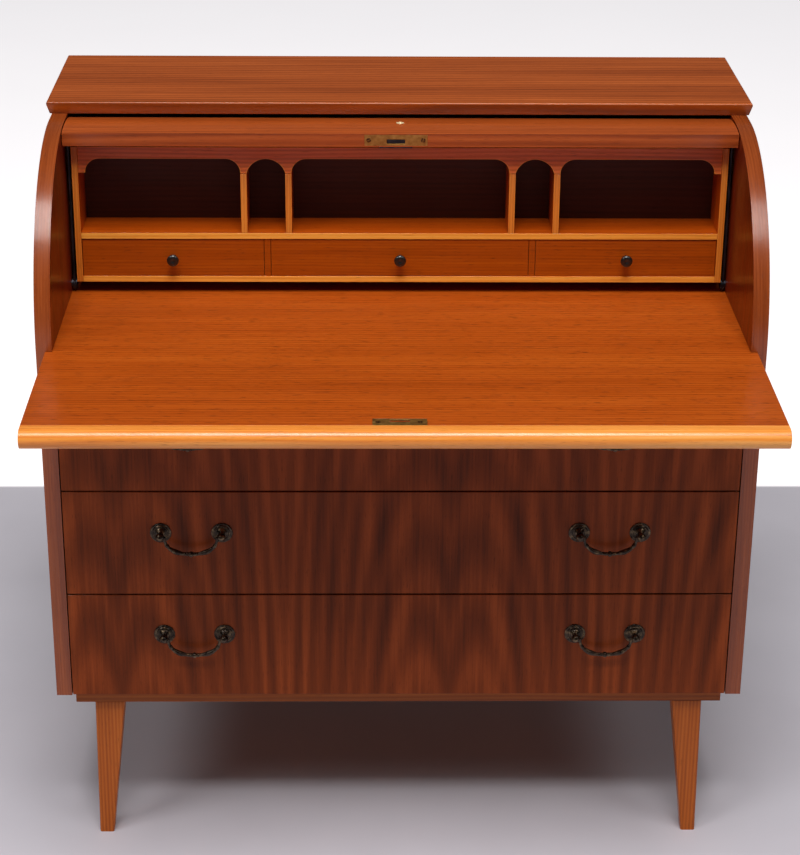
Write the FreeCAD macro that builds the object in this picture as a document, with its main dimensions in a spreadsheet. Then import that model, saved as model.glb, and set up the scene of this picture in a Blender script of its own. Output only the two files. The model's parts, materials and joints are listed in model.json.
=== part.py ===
"""Roll top desk: carcass on a leg frame, pull-out writing board, solid quarter-round roll,
pigeonhole unit and three drawers.  Millimetres, +Z up, front towards -Y.

Depths are given from the front plane of the carcass; every piece is then set back by
mid_depth, so that the origin lies on the floor at the middle of the desk as it stands open.
"""
import FreeCAD, Part
import os
import re
import Sketcher

doc = FreeCAD.newDocument("roll_top_desk")

# ---------------------------------------------------------------- driving dimensions
DRIVING = {
    # carcass and top
    "total_height": 1049, "carcass_width": 989, "side_depth": 540, "side_thick": 22,
    "corner_radius": 250, "top_thick": 18, "top_depth": 264.5, "top_back_lap": 4.5,
    "top_side_lap": 7, "top_undercut": 4, "top_square": 4, "top_round": 2.5,
    "back_thick": 6, "back_inset": 4, "bottom_thick": 16,
    # leg frame and legs
    "leg_length": 222.4, "frame_height": 24.6, "frame_rail": 22, "frame_front_inset": 22,
    "frame_back_inset": 20, "frame_side_inset": 24.2, "leg_head": 43, "leg_foot": 21,
    "leg_inset": 51.5, "leg_splay": 2.5, "leg_round": 3, "block_length": 70, "block_width": 42,
    # writing board and its deck
    "board_top": 780.4, "board_thick": 20, "board_depth": 520, "board_travel": 245.4,
    "lip_thick": 26, "lip_depth": 24, "groove_depth": 9.9, "slide_gap": 0.4,
    "deck_gap": 2, "deck_thick": 22,
    # large drawers
    "front_thick": 19, "front_gap": 2, "front_side_gap": 1.3, "head_gap": 1.8,
    "drawer_rise": 3.7, "low_front_lap": 2.7, "box_depth": 440, "box_height": 125,
    "box_wall": 10, "box_side_gap": 2, "box_lift": 16, "floor_thick": 4, "floor_lift": 8,
    "runner_depth": 5, "runner_height": 16, "runner_gap": 0.3, "runner_lift": 50,
    "rail_thick": 16, "rail_depth": 40,
    # drawer pulls
    "pull_apart": 586, "pull_spread": 85.5, "pull_drop": 62.5, "rose_radius": 15,
    "rose_thick": 4, "post_radius": 3.4, "post_reach": 15, "ball_radius": 6,
    "bail_radius": 2.5, "bail_drop": 26.5, "bail_entry": 4, "bail_shoulder": 31,
    "bail_grip": 26, "bail_bend": 5, "pin_gap": 0.08,
    # pigeonhole unit
    "unit_front": 227.8, "unit_depth": 75, "unit_lift": 17.6, "unit_height": 200.5,
    "unit_side_gap": 8.8, "unit_thick": 9, "unit_back_thick": 5, "shelf_rise": 74,
    "valance_thick": 6, "valance_recess": 2, "valance_drop": 38.3,
    "arch_round": 21, "end_spandrel": 9.7, "inner_wall_at": 158.5,
    "outer_wall_at": 221.9, "divider_at": 189.7, "spacer_set_back": 40, "spacer_short": 22,
    # small drawers
    "small_front": 8, "small_recess": 1.5, "small_gap": 0.7, "small_rest": 0.3,
    "small_wall": 5, "small_floor": 3, "small_back_gap": 3, "knob_radius": 8.7,
    "knob_neck": 3.4, "knob_reach": 18, "small_box_short": 6,
    # roll
    "pivot_depth": 240, "pivot_lift": 11.6, "roll_radius": 237.5, "rail_wall": 19.5,
    "shell_wall": 12, "rail_sweep": 20.9, "shell_end": 99, "open_angle": 83,
    "close_gap": 2, "roll_side_gap": 1.3,
    # arms and pivots
    "arm_thick": 3, "arm_from_side": 3, "arm_half": 8, "eye_radius": 9.5, "arm_angle": 8,
    "arm_float": 0.1, "head_low": 220.2, "head_high": 230.2, "head_fore": 6, "head_aft": 15,
    "rebate_gap": 0.4, "journal_radius": 4, "journal_gap": 0.05, "shoulder_radius": 6.5,
    "pin_head_radius": 8, "pin_head": 1.8,
    "pin_bite": 10, "screw_radius": 2.2, "screw_head_radius": 3.4, "screw_head": 1.3,
    # lock
    "lock_across": -7.3, "key_across": -0.7, "key_angle": 8.4, "plate_length": 88,
    "plate_width": 16.5, "plate_thick": 1.5, "strike_length": 69, "strike_width": 21,
    "case_length": 46, "case_thick": 11, "case_height": 62, "case_angle": 6.5,
    "case_radius": 218, "case_gap": 0.3, "bolt_length": 24, "bolt_thick": 5, "bolt_tall": 14,
    "bolt_gap": 0.8, "bolt_throw": 7, "bolt_set_in": 2, "key_radius": 5, "key_bore": 1.6,
    "key_sink": 2, "key_proud": 0.3,
}

# what follows from them: places that several pieces share
SHARED = {
    "inner_half": "carcass_width / 2 - side_thick",
    "side_bottom": "leg_length + frame_height",
    "top_under": "total_height - top_thick",
    "top_back": "side_depth + top_back_lap",
    "top_front": "top_back - top_depth",
    "board_under": "board_top - board_thick",
    "deck_top": "board_under - deck_gap",
    "deck_under": "deck_top - deck_thick",
    "board_half": "inner_half + groove_depth - slide_gap",
    "mid_depth": "(top_back - board_travel - lip_depth) / 2",
    "back_front": "side_depth - back_inset - back_thick",
    "frame_half": "carcass_width / 2 - frame_side_inset",
    "frame_back": "side_depth - frame_back_inset",
    "front_half": "inner_half - front_side_gap",
    "grid_low": "side_bottom + drawer_rise",
    "pitch": "(deck_under - head_gap - grid_low) / 3",
    "box_half": "inner_half - box_side_gap",
    "box_front": "front_thick",
    "unit_half": "inner_half - unit_side_gap",
    "unit_clear": "unit_half - unit_thick",
    "unit_low": "board_top + unit_lift",
    "unit_high": "unit_low + unit_height",
    "unit_rear": "unit_front + unit_depth",
    "unit_floor_end": "unit_rear - unit_back_thick",
    "shelf_top": "unit_low + shelf_rise",
    "pivot_height": "board_top + pivot_lift",
    "roll_half": "inner_half - roll_side_gap",
    "roll_dip": "pivot_lift - close_gap",
    "dip_angle": "asin(roll_dip / roll_radius) / 1deg",
    "rail_end": "rail_sweep - dip_angle",
    "rail_inner": "roll_radius - rail_wall",
    "shell_inner": "roll_radius - shell_wall",
    "arm_outer": "inner_half - arm_from_side",
    "arm_inner": "arm_outer - arm_thick",
    "rebate_face": "arm_inner - rebate_gap",
    "head_start": "arm_angle - head_fore",
    "head_stop": "rail_end + head_aft",
    "screw_line": "(head_low + head_high) / 2",
    "journal": "journal_radius - journal_gap",
    "lock_line": "roll_radius - rail_wall / 2",
    "bolt_line": "lock_line - bolt_set_in",
    "strike_from": "-board_travel",
    "narrow_half": "(outer_wall_at - inner_wall_at - unit_thick) / 2",
    "narrow_radius": "(narrow_half ^ 2 + arch_round ^ 2) / (2 * arch_round)",
    "pull_pin": "pull_spread / 2 - ball_radius + bail_entry",
}

dims = doc.addObject("Spreadsheet::Sheet", "dims")
fits = doc.addObject("Spreadsheet::Sheet", "fits")
home = {name: f"dims.{name}" for name in DRIVING}
home.update({name: f"fits.{name}" for name in SHARED})


def tie(formula):
    """Write a formula's names as references to their cells."""
    return re.sub(r"[a-z_]+", lambda word: home.get(word.group(), word.group()), formula)


def value(formula):
    """A formula's number, as the sheets give it now."""
    number = dims.evalExpression(tie(formula))
    return float(getattr(number, "Value", number))


for row, (name, number) in enumerate(DRIVING.items(), start=1):
    dims.set(f"A{row}", name)
    dims.set(f"B{row}", str(number))
    dims.setAlias(f"B{row}", name)
doc.recompute()
for row, (name, formula) in enumerate(SHARED.items(), start=1):
    fits.set(f"A{row}", name)
    fits.set(f"B{row}", "=" + tie(formula))
    fits.setAlias(f"B{row}", name)
doc.recompute()

nodes = []


def keep(piece, label):
    """Name a finished sub-part and put it on the list of files to write."""
    piece.Label = label
    nodes.append(piece)
    return piece


def place(across, depth, height, tilt=0.0):
    """Where a piece stands: depth from the carcass front, tilt in degrees about the X axis."""
    spot = FreeCAD.Vector(value(across), value(depth) - value("mid_depth"), value(height))
    return FreeCAD.Placement(spot, FreeCAD.Rotation(FreeCAD.Vector(1, 0, 0), tilt))


# ---------------------------------------------------------------- plain boards
def plank(name, across, depth, height):
    """A straight board between two formulas along each of the three directions."""
    board = doc.addObject("Part::Box", name)
    spans = (("Length", across), ("Width", depth), ("Height", height))
    for side, (low, high) in spans:
        board.setExpression(side, tie(f"({high}) - ({low})"))
    board.Placement = place(across[0], depth[0], height[0])
    return board


def both_sides(span):
    """The same span on the left: its two formulas swapped and made negative."""
    return (f"-({span[1]})", f"-({span[0]})")


def group(label, pieces):
    """Like pieces kept as separate solids in one node."""
    bundle = doc.addObject("Part::Compound", label)
    bundle.Links = pieces
    return keep(bundle, label)


def cut(name, base, tools):
    """Take tools away from base, one after another."""
    for index, tool in enumerate(tools):
        result = doc.addObject("Part::Cut", f"{name}_cut_{index}")
        result.Base = base
        result.Tool = tool
        base = result
    return base


# ---------------------------------------------------------------- sketched bodies
def new_body(name, placement):
    body = doc.addObject("PartDesign::Body", name)
    body.Placement = placement
    return body


def sketch_on(body, name, plane, lift="0"):
    """A sketch on one of the body's own origin planes, lifted along its normal."""
    sketch = body.newObject("Sketcher::SketchObject", name)
    support = next(part for part in body.Origin.OriginFeatures if part.Role == plane)
    sketch.AttachmentSupport = [(support, "")]
    sketch.MapMode = "FlatFace"
    sketch.AttachmentOffset = FreeCAD.Placement(
        FreeCAD.Vector(0, 0, value(lift)), FreeCAD.Rotation())
    if lift != "0":
        sketch.setExpression("AttachmentOffset.Base.z", tie(lift))
    return sketch


def dimension(sketch, kind, name, formula, *where):
    """Add a constraint whose size is bound to the sheets."""
    index = sketch.addConstraint(Sketcher.Constraint(kind, *where, value(formula)))
    sketch.renameConstraint(index, name)
    sketch.setExpression(f"Constraints.{name}", tie(formula))


def arc_between(start, end, radius, turn):
    """Minor arc from start to end; turn is 1 for anticlockwise, -1 for clockwise."""
    chord = end - start
    normal = FreeCAD.Vector(-chord.y, chord.x, 0).normalize()
    reach = max(radius ** 2 - (chord.Length / 2) ** 2, 0) ** 0.5
    centre = (start + end) / 2 + normal * reach * turn
    low, high = (start, end) if turn > 0 else (end, start)
    x_axis = FreeCAD.Vector(1, 0, 0)
    angles = []
    for corner in (low, high):
        spoke = corner - centre
        angle = spoke.getAngle(x_axis)
        angles.append(angle if spoke.y >= 0 else -angle)
    circle = Part.Circle(centre, FreeCAD.Vector(0, 0, 1), radius)
    return Part.ArcOfCircle(circle, angles[0], angles[1])


def outline(sketch, corners, closed=True):
    """Draw an outline through corners given as (across, up) formulas.  A corner with a
    radius formula and a turn as well is reached by an arc from the corner before it."""
    tag = f"g{sketch.GeometryCount}_"
    spots = [FreeCAD.Vector(value(corner[0]), value(corner[1]), 0) for corner in corners]
    count = len(corners)
    edges = []
    for index in range(count if closed else count - 1):
        target = corners[(index + 1) % count]
        start, end = spots[index], spots[(index + 1) % count]
        if len(target) == 2:
            edge = sketch.addGeometry(Part.LineSegment(start, end))
            ends = (1, 2)
        else:
            edge = sketch.addGeometry(arc_between(start, end, value(target[2]), target[3]))
            ends = (1, 2) if target[3] > 0 else (2, 1)
            dimension(sketch, "Radius", f"{tag}round_{index}", target[2], edge)
        edges.append((edge, ends))
    for index in range(len(edges) if closed else len(edges) - 1):
        edge, ends = edges[index]
        following, next_ends = edges[(index + 1) % len(edges)]
        sketch.addConstraint(
            Sketcher.Constraint("Coincident", edge, ends[1], following, next_ends[0]))
    for index, corner in enumerate(corners):
        last = index == len(edges)
        edge, ends = edges[index - 1] if last else edges[index]
        end = ends[1] if last else ends[0]
        dimension(sketch, "DistanceX", f"{tag}across_{index}", corner[0], -1, 1, edge, end)
        dimension(sketch, "DistanceY", f"{tag}up_{index}", corner[1], -1, 1, edge, end)
    return sketch


def ring(sketch, across, up, radius):
    """Draw a circle."""
    tag = f"g{sketch.GeometryCount}_"
    centre = FreeCAD.Vector(value(across), value(up), 0)
    circle = Part.Circle(centre, FreeCAD.Vector(0, 0, 1), value(radius))
    edge = sketch.addGeometry(circle)
    dimension(sketch, "Radius", f"{tag}radius", radius, edge)
    dimension(sketch, "DistanceX", f"{tag}across", across, -1, 1, edge, 3)
    dimension(sketch, "DistanceY", f"{tag}up", up, -1, 1, edge, 3)
    return sketch


def pad(body, sketch, length, flip=False, both_ways=False):
    feature = body.newObject("PartDesign::Pad", f"{sketch.Name}_pad")
    feature.Profile = sketch
    feature.setExpression("Length", tie(length))
    feature.Reversed = flip
    feature.Midplane = both_ways
    return feature


def pocket(body, sketch, length, flip=False):
    """Cut a sketch into the body; length None cuts through everything on that side."""
    feature = body.newObject("PartDesign::Pocket", f"{sketch.Name}_pocket")
    feature.Profile = sketch
    if length is None:
        feature.Type = 1
    else:
        feature.setExpression("Length", tie(length))
    feature.Reversed = flip
    return feature


def turned(body, sketch, axis):
    """Turn a half profile a full circle about one axis of its sketch."""
    feature = body.newObject("PartDesign::Revolution", f"{sketch.Name}_turned")
    feature.Profile = sketch
    feature.ReferenceAxis = (sketch, [axis])
    feature.Angle = 360
    return feature


# ================================================================ carcass
def side_panel(label, hand):
    """Side with a quarter-round front corner, a groove for the writing board's edge and
    a bore for the roll's pivot pin.  hand is 1 on the right and -1 on the left."""
    body = new_body(label, place(f"{hand} * inner_half", "0", "0"))
    face = outline(sketch_on(body, f"{label}_face", "YZ_Plane"), [
        ("0", "side_bottom"),
        ("side_depth", "side_bottom"),
        ("side_depth", "top_under"),
        ("corner_radius", "top_under"),
        ("0", "top_under - corner_radius", "corner_radius", 1),
    ])
    pad(body, face, "side_thick", flip=hand < 0)
    groove = outline(sketch_on(body, f"{label}_groove", "YZ_Plane"), [
        ("0", "board_under - slide_gap"),
        ("back_front", "board_under - slide_gap"),
        ("back_front", "board_top + slide_gap"),
        ("0", "board_top + slide_gap"),
    ])
    pocket(body, groove, "groove_depth", flip=hand > 0)
    bore = ring(sketch_on(body, f"{label}_bore", "YZ_Plane"),
                "pivot_depth", "pivot_height", "journal_radius")
    pocket(body, bore, "pin_bite + 1", flip=hand > 0)
    return keep(body, label)


side_panel("side_left", -1)
side_panel("side_right", 1)


def top_board():
    """Top whose front and side edges lean in towards the underside."""
    body = new_body("top_board", place("0", "0", "top_under"))
    half = "(carcass_width / 2 + top_side_lap)"
    lower = outline(sketch_on(body, "top_lower", "XY_Plane"), [
        (f"-({half} - top_undercut)", "top_front + top_undercut"),
        (f"{half} - top_undercut", "top_front + top_undercut"),
        (f"{half} - top_undercut", "top_back"),
        (f"-({half} - top_undercut)", "top_back"),
    ])
    full = [(f"-{half}", "top_front"), (half, "top_front"), (half, "top_back"),
            (f"-{half}", "top_back")]
    upper = outline(sketch_on(body, "top_upper", "XY_Plane", "top_thick - top_square"), full)
    lean = body.newObject("PartDesign::AdditiveLoft", "top_lean")
    lean.Profile = lower
    lean.Sections = [upper]
    lean.Ruled = True
    cap = outline(sketch_on(body, "top_cap", "XY_Plane", "top_thick - top_square"), full)
    block = pad(body, cap, "top_square")
    doc.recompute()
    rim = [f"Edge{index}" for index, edge in enumerate(block.Shape.Edges, start=1)
           if edge.BoundBox.ZMin > value("top_thick") - 0.01]
    ease = body.newObject("PartDesign::Fillet", "top_ease")
    ease.Base = (block, rim)
    ease.setExpression("Radius", "dims.top_round")
    return keep(body, "top_board")


top_board()
inside = ("-inner_half", "inner_half")
keep(plank("deck_board", inside, ("0", "back_front"), ("deck_under", "deck_top")),
     "deck_board")
keep(plank("bottom_board", inside, ("front_thick + 1", "back_front"),
           ("side_bottom", "side_bottom + bottom_thick")), "bottom_board")
keep(plank("back_panel", inside, ("back_front", "back_front + back_thick"),
           ("side_bottom", "top_under")), "back_panel")

# cross rails behind the joints between the drawers, and the strips the drawers slide on
drawer_rows = {"lower": 0, "middle": 1, "upper": 2}
group("drawer_rails", [
    plank(f"drawer_rail_{row}", inside, ("front_thick + 1", "front_thick + 1 + rail_depth"),
          (f"grid_low + {row} * pitch - (front_gap + rail_thick) / 2",
           f"grid_low + {row} * pitch - (front_gap - rail_thick) / 2"))
    for row in (1, 2)])
runner_span = ("box_half - runner_depth", "inner_half")
group("drawer_runners", [
    plank(f"runner_{name}_{side}", span, ("box_front + 1 + rail_depth", "box_front + box_depth - box_wall - 1"),
          (f"grid_low + {row} * pitch + runner_lift",
           f"grid_low + {row} * pitch + runner_lift + runner_height"))
    for name, row in drawer_rows.items()
    for side, span in (("right", runner_span), ("left", both_sides(runner_span)))])

# ================================================================ leg frame and legs
frame_band = ("leg_length", "side_bottom")
frame_sides = ("frame_half - frame_rail", "frame_half")
frame_inner = ("frame_front_inset + frame_rail", "frame_back - frame_rail")
group("leg_frame", [
    plank("frame_front", ("-frame_half", "frame_half"),
          ("frame_front_inset", "frame_front_inset + frame_rail"), frame_band),
    plank("frame_rear", ("-frame_half", "frame_half"),
          ("frame_back - frame_rail", "frame_back"), frame_band),
    plank("frame_right", frame_sides, frame_inner, frame_band),
    plank("frame_left", both_sides(frame_sides), frame_inner, frame_band),
])

block_across = ("frame_half - frame_rail - block_length", "frame_half - frame_rail")
block_fore = ("frame_front_inset + frame_rail", "frame_front_inset + frame_rail + block_width")
block_aft = ("frame_back - frame_rail - block_width", "frame_back - frame_rail")
group("corner_blocks", [
    plank(f"block_{end}_{side}", across, depth, frame_band)
    for end, depth in (("front", block_fore), ("rear", block_aft))
    for side, across in (("right", block_across), ("left", both_sides(block_across)))])


def eased_square(across, along, radius):
    """Corners of a rectangle with its four corners rounded off."""
    (west, east), (south, north) = across, along
    return [(f"{west} + {radius}", south, radius, 1), (f"{east} - {radius}", south),
            (east, f"{south} + {radius}", radius, 1), (east, f"{north} - {radius}"),
            (f"{east} - {radius}", north, radius, 1), (f"{west} + {radius}", north),
            (west, f"{north} - {radius}", radius, 1), (west, f"{south} + {radius}")]


def leg(label, hand, end):
    """Square leg tapered on its inner faces and splayed outwards to a smaller foot.
    hand is 1 on the right and -1 on the left, end is -1 at the front and 1 at the rear."""
    edge = "frame_front_inset" if end < 0 else "frame_back"
    body = new_body(label, place(f"{hand} * (carcass_width / 2 - leg_inset)", edge, "0"))
    head, foot = ("-leg_head", "0"), ("leg_splay - leg_foot", "leg_splay")
    spans = [(head, foot) if sign > 0 else (both_sides(head), both_sides(foot))
             for sign in (hand, end)]
    lower = outline(sketch_on(body, f"{label}_foot", "XY_Plane"),
                    eased_square(spans[0][1], spans[1][1], "leg_round"))
    upper = outline(sketch_on(body, f"{label}_head", "XY_Plane", "leg_length"),
                    eased_square(spans[0][0], spans[1][0], "leg_round"))
    shaft = body.newObject("PartDesign::AdditiveLoft", f"{label}_shaft")
    shaft.Profile = lower
    shaft.Sections = [upper]
    shaft.Ruled = True
    return keep(body, label)


for side, hand in (("left", -1), ("right", 1)):
    leg(f"leg_front_{side}", hand, -1)
    leg(f"leg_rear_{side}", hand, 1)

# ================================================================ pigeonhole unit
unit_run = ("unit_front", "unit_floor_end")
unit_band = ("unit_low", "unit_high")
between = ("-unit_clear", "unit_clear")
unit_side = ("unit_clear", "unit_half")
group("unit_sides", [
    plank("unit_side_right", unit_side, ("unit_front", "unit_rear"), unit_band),
    plank("unit_side_left", both_sides(unit_side), ("unit_front", "unit_rear"), unit_band),
])
keep(plank("unit_bottom", between, unit_run, ("unit_low", "unit_low + unit_thick")),
     "unit_bottom")
keep(plank("unit_shelf", between, unit_run, ("shelf_top - unit_thick", "shelf_top")),
     "unit_shelf")
keep(plank("unit_top", between,
           ("unit_front + valance_recess + valance_thick", "unit_floor_end"),
           ("unit_high - unit_thick", "unit_high")), "unit_top")
keep(plank("unit_back", between, ("unit_floor_end", "unit_rear"),
           ("unit_low", "unit_high - unit_thick")), "unit_back")
spacer = ("unit_half", "inner_half")
group("unit_spacers", [
    plank(f"unit_spacer_{side}", span, ("unit_front + spacer_set_back", "unit_rear"),
          ("unit_low + spacer_short", "unit_high - spacer_short"))
    for side, span in (("right", spacer), ("left", both_sides(spacer)))])


def valance():
    """Thin arched board along the top of the unit: eased corners over the wide
    compartments, a round arch over each narrow one, a spandrel foot at every wall."""
    body = new_body("unit_valance", place("0", "unit_front + valance_recess", "unit_high"))
    foot, crown = "-valance_drop", "arch_round - valance_drop"
    board = outline(sketch_on(body, "valance_board", "XZ_Plane"), [
        ("-unit_clear", foot), ("unit_clear", foot), ("unit_clear", "0"), ("-unit_clear", "0")])
    pad(body, board, "valance_thick", flip=True)
    half_wall = "unit_thick / 2"
    wide_out = (f"outer_wall_at + {half_wall}", "unit_clear - end_spandrel")
    wide_mid = (f"-(inner_wall_at - {half_wall})", f"inner_wall_at - {half_wall}")
    narrow = (f"inner_wall_at + {half_wall}", f"outer_wall_at - {half_wall}")
    for index, (left, right) in enumerate((both_sides(wide_out), wide_mid, wide_out)):
        arch = outline(sketch_on(body, f"wide_arch_{index}", "XZ_Plane"), [
            (left, foot, "arch_round", 1),
            (right, foot),
            (f"{right} - arch_round", crown, "arch_round", 1),
            (f"{left} + arch_round", crown)])
        pocket(body, arch, None)
    for index, (left, right) in enumerate((both_sides(narrow), narrow)):
        arch = outline(sketch_on(body, f"narrow_arch_{index}", "XZ_Plane"), [
            (left, foot, "narrow_radius", 1), (right, foot)])
        pocket(body, arch, None)
    return keep(body, "unit_valance")


def compartment_wall(name, across):
    """Upright wall between two compartments, notched behind the valance."""
    body = new_body(name, place(f"{across} - unit_thick / 2", "0", "0"))
    notch = "unit_front + valance_recess + valance_thick"
    face = outline(sketch_on(body, f"{name}_face", "YZ_Plane"), [
        ("unit_front", "shelf_top"),
        ("unit_floor_end", "shelf_top"),
        ("unit_floor_end", "unit_high - unit_thick"),
        (notch, "unit_high - unit_thick"),
        (notch, "unit_high - valance_drop"),
        ("unit_front", "unit_high - valance_drop"),
    ])
    pad(body, face, "unit_thick")
    return body


valance()
group("unit_walls", [
    compartment_wall(f"unit_wall_{index}", across) for index, across in enumerate(
        ("-outer_wall_at", "-inner_wall_at", "inner_wall_at", "outer_wall_at"))])
divider = ("divider_at - unit_thick / 2", "divider_at + unit_thick / 2")
group("unit_dividers", [
    plank(f"unit_divider_{side}", span, ("unit_front + small_recess", "unit_floor_end"),
          ("unit_low + unit_thick", "shelf_top - unit_thick"))
    for side, span in (("right", divider), ("left", both_sides(divider)))])

# ================================================================ writing board
strike_span = ("lock_across - strike_length / 2", "lock_across + strike_length / 2")
strike_depth = ("strike_from", "strike_from + strike_width")
slot_span = ("lock_across - bolt_length / 2 - bolt_gap", "lock_across + bolt_length / 2 + bolt_gap")
slot_mid = "(strike_from + pivot_depth - bolt_line)"
slot_depth = (f"{slot_mid} - bolt_thick / 2 - bolt_gap", f"{slot_mid} + bolt_thick / 2 + bolt_gap")
panel = plank("board_panel", ("-board_half", "board_half"),
              ("strike_from", "strike_from + board_depth"), ("board_under", "board_top"))
keep(cut("board", panel, [
    plank("strike_seat", strike_span, strike_depth, ("board_top - plate_thick", "board_top + 1")),
    plank("bolt_mortise", slot_span, slot_depth,
          ("board_top - plate_thick - bolt_throw", "board_top")),
]), "writing_board")
keep(cut("strike", plank("strike_blank", strike_span, strike_depth,
                         ("board_top - plate_thick", "board_top")), [
    plank("strike_slot", slot_span, slot_depth, ("board_top - 2 * plate_thick", "board_top + 1")),
]), "strike_plate")


def lipping():
    """Half-round nosing glued along the board's front edge."""
    body = new_body("front_lipping", place("0", "strike_from", "board_top"))
    middle = "-(lip_depth - lip_thick / 2)"
    section = outline(sketch_on(body, "lipping_section", "YZ_Plane"), [
        ("0", "0"),
        (middle, "0"),
        ("-lip_depth", "-lip_thick / 2", "lip_thick / 2", 1),
        (middle, "-lip_thick", "lip_thick / 2", 1),
        ("0", "-lip_thick"),
    ])
    pad(body, section, "2 * board_half", both_ways=True)
    return keep(body, "front_lipping")


lipping()


# ================================================================ roll
def swing(lean="0"):
    """Frame of the roll's pieces, which are drawn shut about the pivot axis and stand
    turned back by open_angle; lean tips a piece's own frame further back."""
    return place("0", "pivot_depth", "pivot_height", -value(f"open_angle + {lean}"))


def roll_plank(name, across, depth, height, lean="0"):
    """A straight block in the roll's own frame."""
    block = plank(name, across, depth, height)
    corner = FreeCAD.Vector(value(across[0]), value(depth[0]), value(height[0]))
    block.Placement = swing(lean).multiply(FreeCAD.Placement(corner, FreeCAD.Rotation()))
    return block


def roll_drum(name, radius, depth, lean):
    """A round block in the roll's own frame, its axis pointing out through the roll."""
    drum = doc.addObject("Part::Cylinder", name)
    drum.setExpression("Radius", tie(radius))
    drum.setExpression("Height", tie(f"({depth[1]}) - ({depth[0]})"))
    foot = FreeCAD.Vector(value("key_across"), -value(depth[0]), 0)
    outward = FreeCAD.Rotation(FreeCAD.Vector(1, 0, 0), 90)
    drum.Placement = swing(lean).multiply(FreeCAD.Placement(foot, outward))
    return drum


def polar(radius, angle):
    """A point at a radius from the pivot and an angle above the shut roll's front edge."""
    return f"-({radius}) * cos({angle})", f"({radius}) * sin({angle})"


def head_rebates(body, name):
    """Let the arms' heads into both ends of a roll piece, open to the inside."""
    low, high = "head_low - 6", "head_high + rebate_gap"
    start, stop = "head_start - 1", "head_stop + 1"
    for side, face, flip in (("right", "rebate_face", True), ("left", "-rebate_face", False)):
        sector = outline(sketch_on(body, f"{name}_rebate_{side}", "YZ_Plane", face), [
            polar(high, start),
            (*polar(high, stop), high, -1),
            polar(low, stop),
            (*polar(low, start), low, 1),
        ])
        pocket(body, sector, None, flip)


def roll_rail():
    """Solid front rail with a flat lower face, which carries the lock."""
    body = new_body("rail_blank", swing())
    section = outline(sketch_on(body, "rail_section", "YZ_Plane"), [
        ("-sqrt(roll_radius ^ 2 - roll_dip ^ 2)", "-roll_dip"),
        (*polar("roll_radius", "rail_end"), "roll_radius", -1),
        polar("rail_inner", "rail_end"),
        ("-sqrt(rail_inner ^ 2 - roll_dip ^ 2)", "-roll_dip", "rail_inner", 1),
    ])
    pad(body, section, "2 * roll_half", both_ways=True)
    head_rebates(body, "rail")
    return body


def roll_shell():
    """Curved laminated shell behind the rail."""
    body = new_body("roll_shell", swing())
    section = outline(sketch_on(body, "shell_section", "YZ_Plane"), [
        polar("roll_radius", "rail_end"),
        (*polar("roll_radius", "shell_end"), "roll_radius", -1),
        polar("shell_inner", "shell_end"),
        (*polar("shell_inner", "rail_end"), "shell_inner", 1),
    ])
    pad(body, section, "2 * roll_half", both_ways=True)
    head_rebates(body, "shell")
    return keep(body, "roll_shell")


plate_span = ("lock_across - plate_length / 2", "lock_across + plate_length / 2")
plate_depth = ("-(lock_line + plate_width / 2)", "-(lock_line - plate_width / 2)")
bolt_span = ("lock_across - bolt_length / 2", "lock_across + bolt_length / 2")
bolt_depth = ("-(bolt_line + bolt_thick / 2)", "-(bolt_line - bolt_thick / 2)")
bolt_band = ("-roll_dip", "bolt_tall - roll_dip")
channel = (slot_span,
           ("-(bolt_line + bolt_thick / 2 + bolt_gap)", "-(bolt_line - bolt_thick / 2 - bolt_gap)"),
           ("-roll_dip - 1", "bolt_tall - roll_dip + bolt_gap"))
case_span = ("lock_across - case_length / 2", "lock_across + case_length / 2")
case_depth = ("-(case_radius + case_thick / 2)", "-(case_radius - case_thick / 2)")
case_band = ("-case_height / 2", "case_height / 2")

roll_shell()
keep(cut("rail", roll_rail(), [
    roll_plank("plate_seat", plate_span, plate_depth, ("-roll_dip - 1", "plate_thick - roll_dip")),
    roll_plank("rail_channel", *channel),
    roll_plank("case_seat", (f"{case_span[0]} - case_gap", f"{case_span[1]} + case_gap"),
               (f"{case_depth[0]} - case_gap", "-(rail_inner - rail_wall)"),
               (f"{case_band[0]} - case_gap", f"{case_band[1]} + case_gap"), "case_angle"),
    roll_drum("key_seat", "key_radius + journal_gap",
              ("roll_radius - key_sink", "roll_radius + 2"), "key_angle"),
    roll_drum("key_way", "key_bore", ("rail_inner", "roll_radius + 2"), "key_angle"),
]), "roll_rail")
keep(cut("plate", roll_plank("plate_blank", plate_span, plate_depth,
                             ("-roll_dip", "plate_thick - roll_dip")),
         [roll_plank("plate_channel", *channel)]), "lock_plate")
keep(cut("case", roll_plank("case_blank", case_span, case_depth, case_band, "case_angle"),
         [roll_plank("case_channel", *channel),
          roll_drum("case_key_way", "key_bore", ("rail_inner - 2", "roll_radius"), "key_angle")]),
     "lock_case")
keep(roll_plank("lock_bolt", bolt_span, bolt_depth, bolt_band), "lock_bolt")
keep(cut("key", roll_drum("key_blank", "key_radius",
                          ("roll_radius - key_sink", "roll_radius + key_proud"), "key_angle"),
         [roll_drum("key_hole", "key_bore", ("rail_inner", "roll_radius + 2"), "key_angle")]),
     "key_escutcheon")


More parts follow.
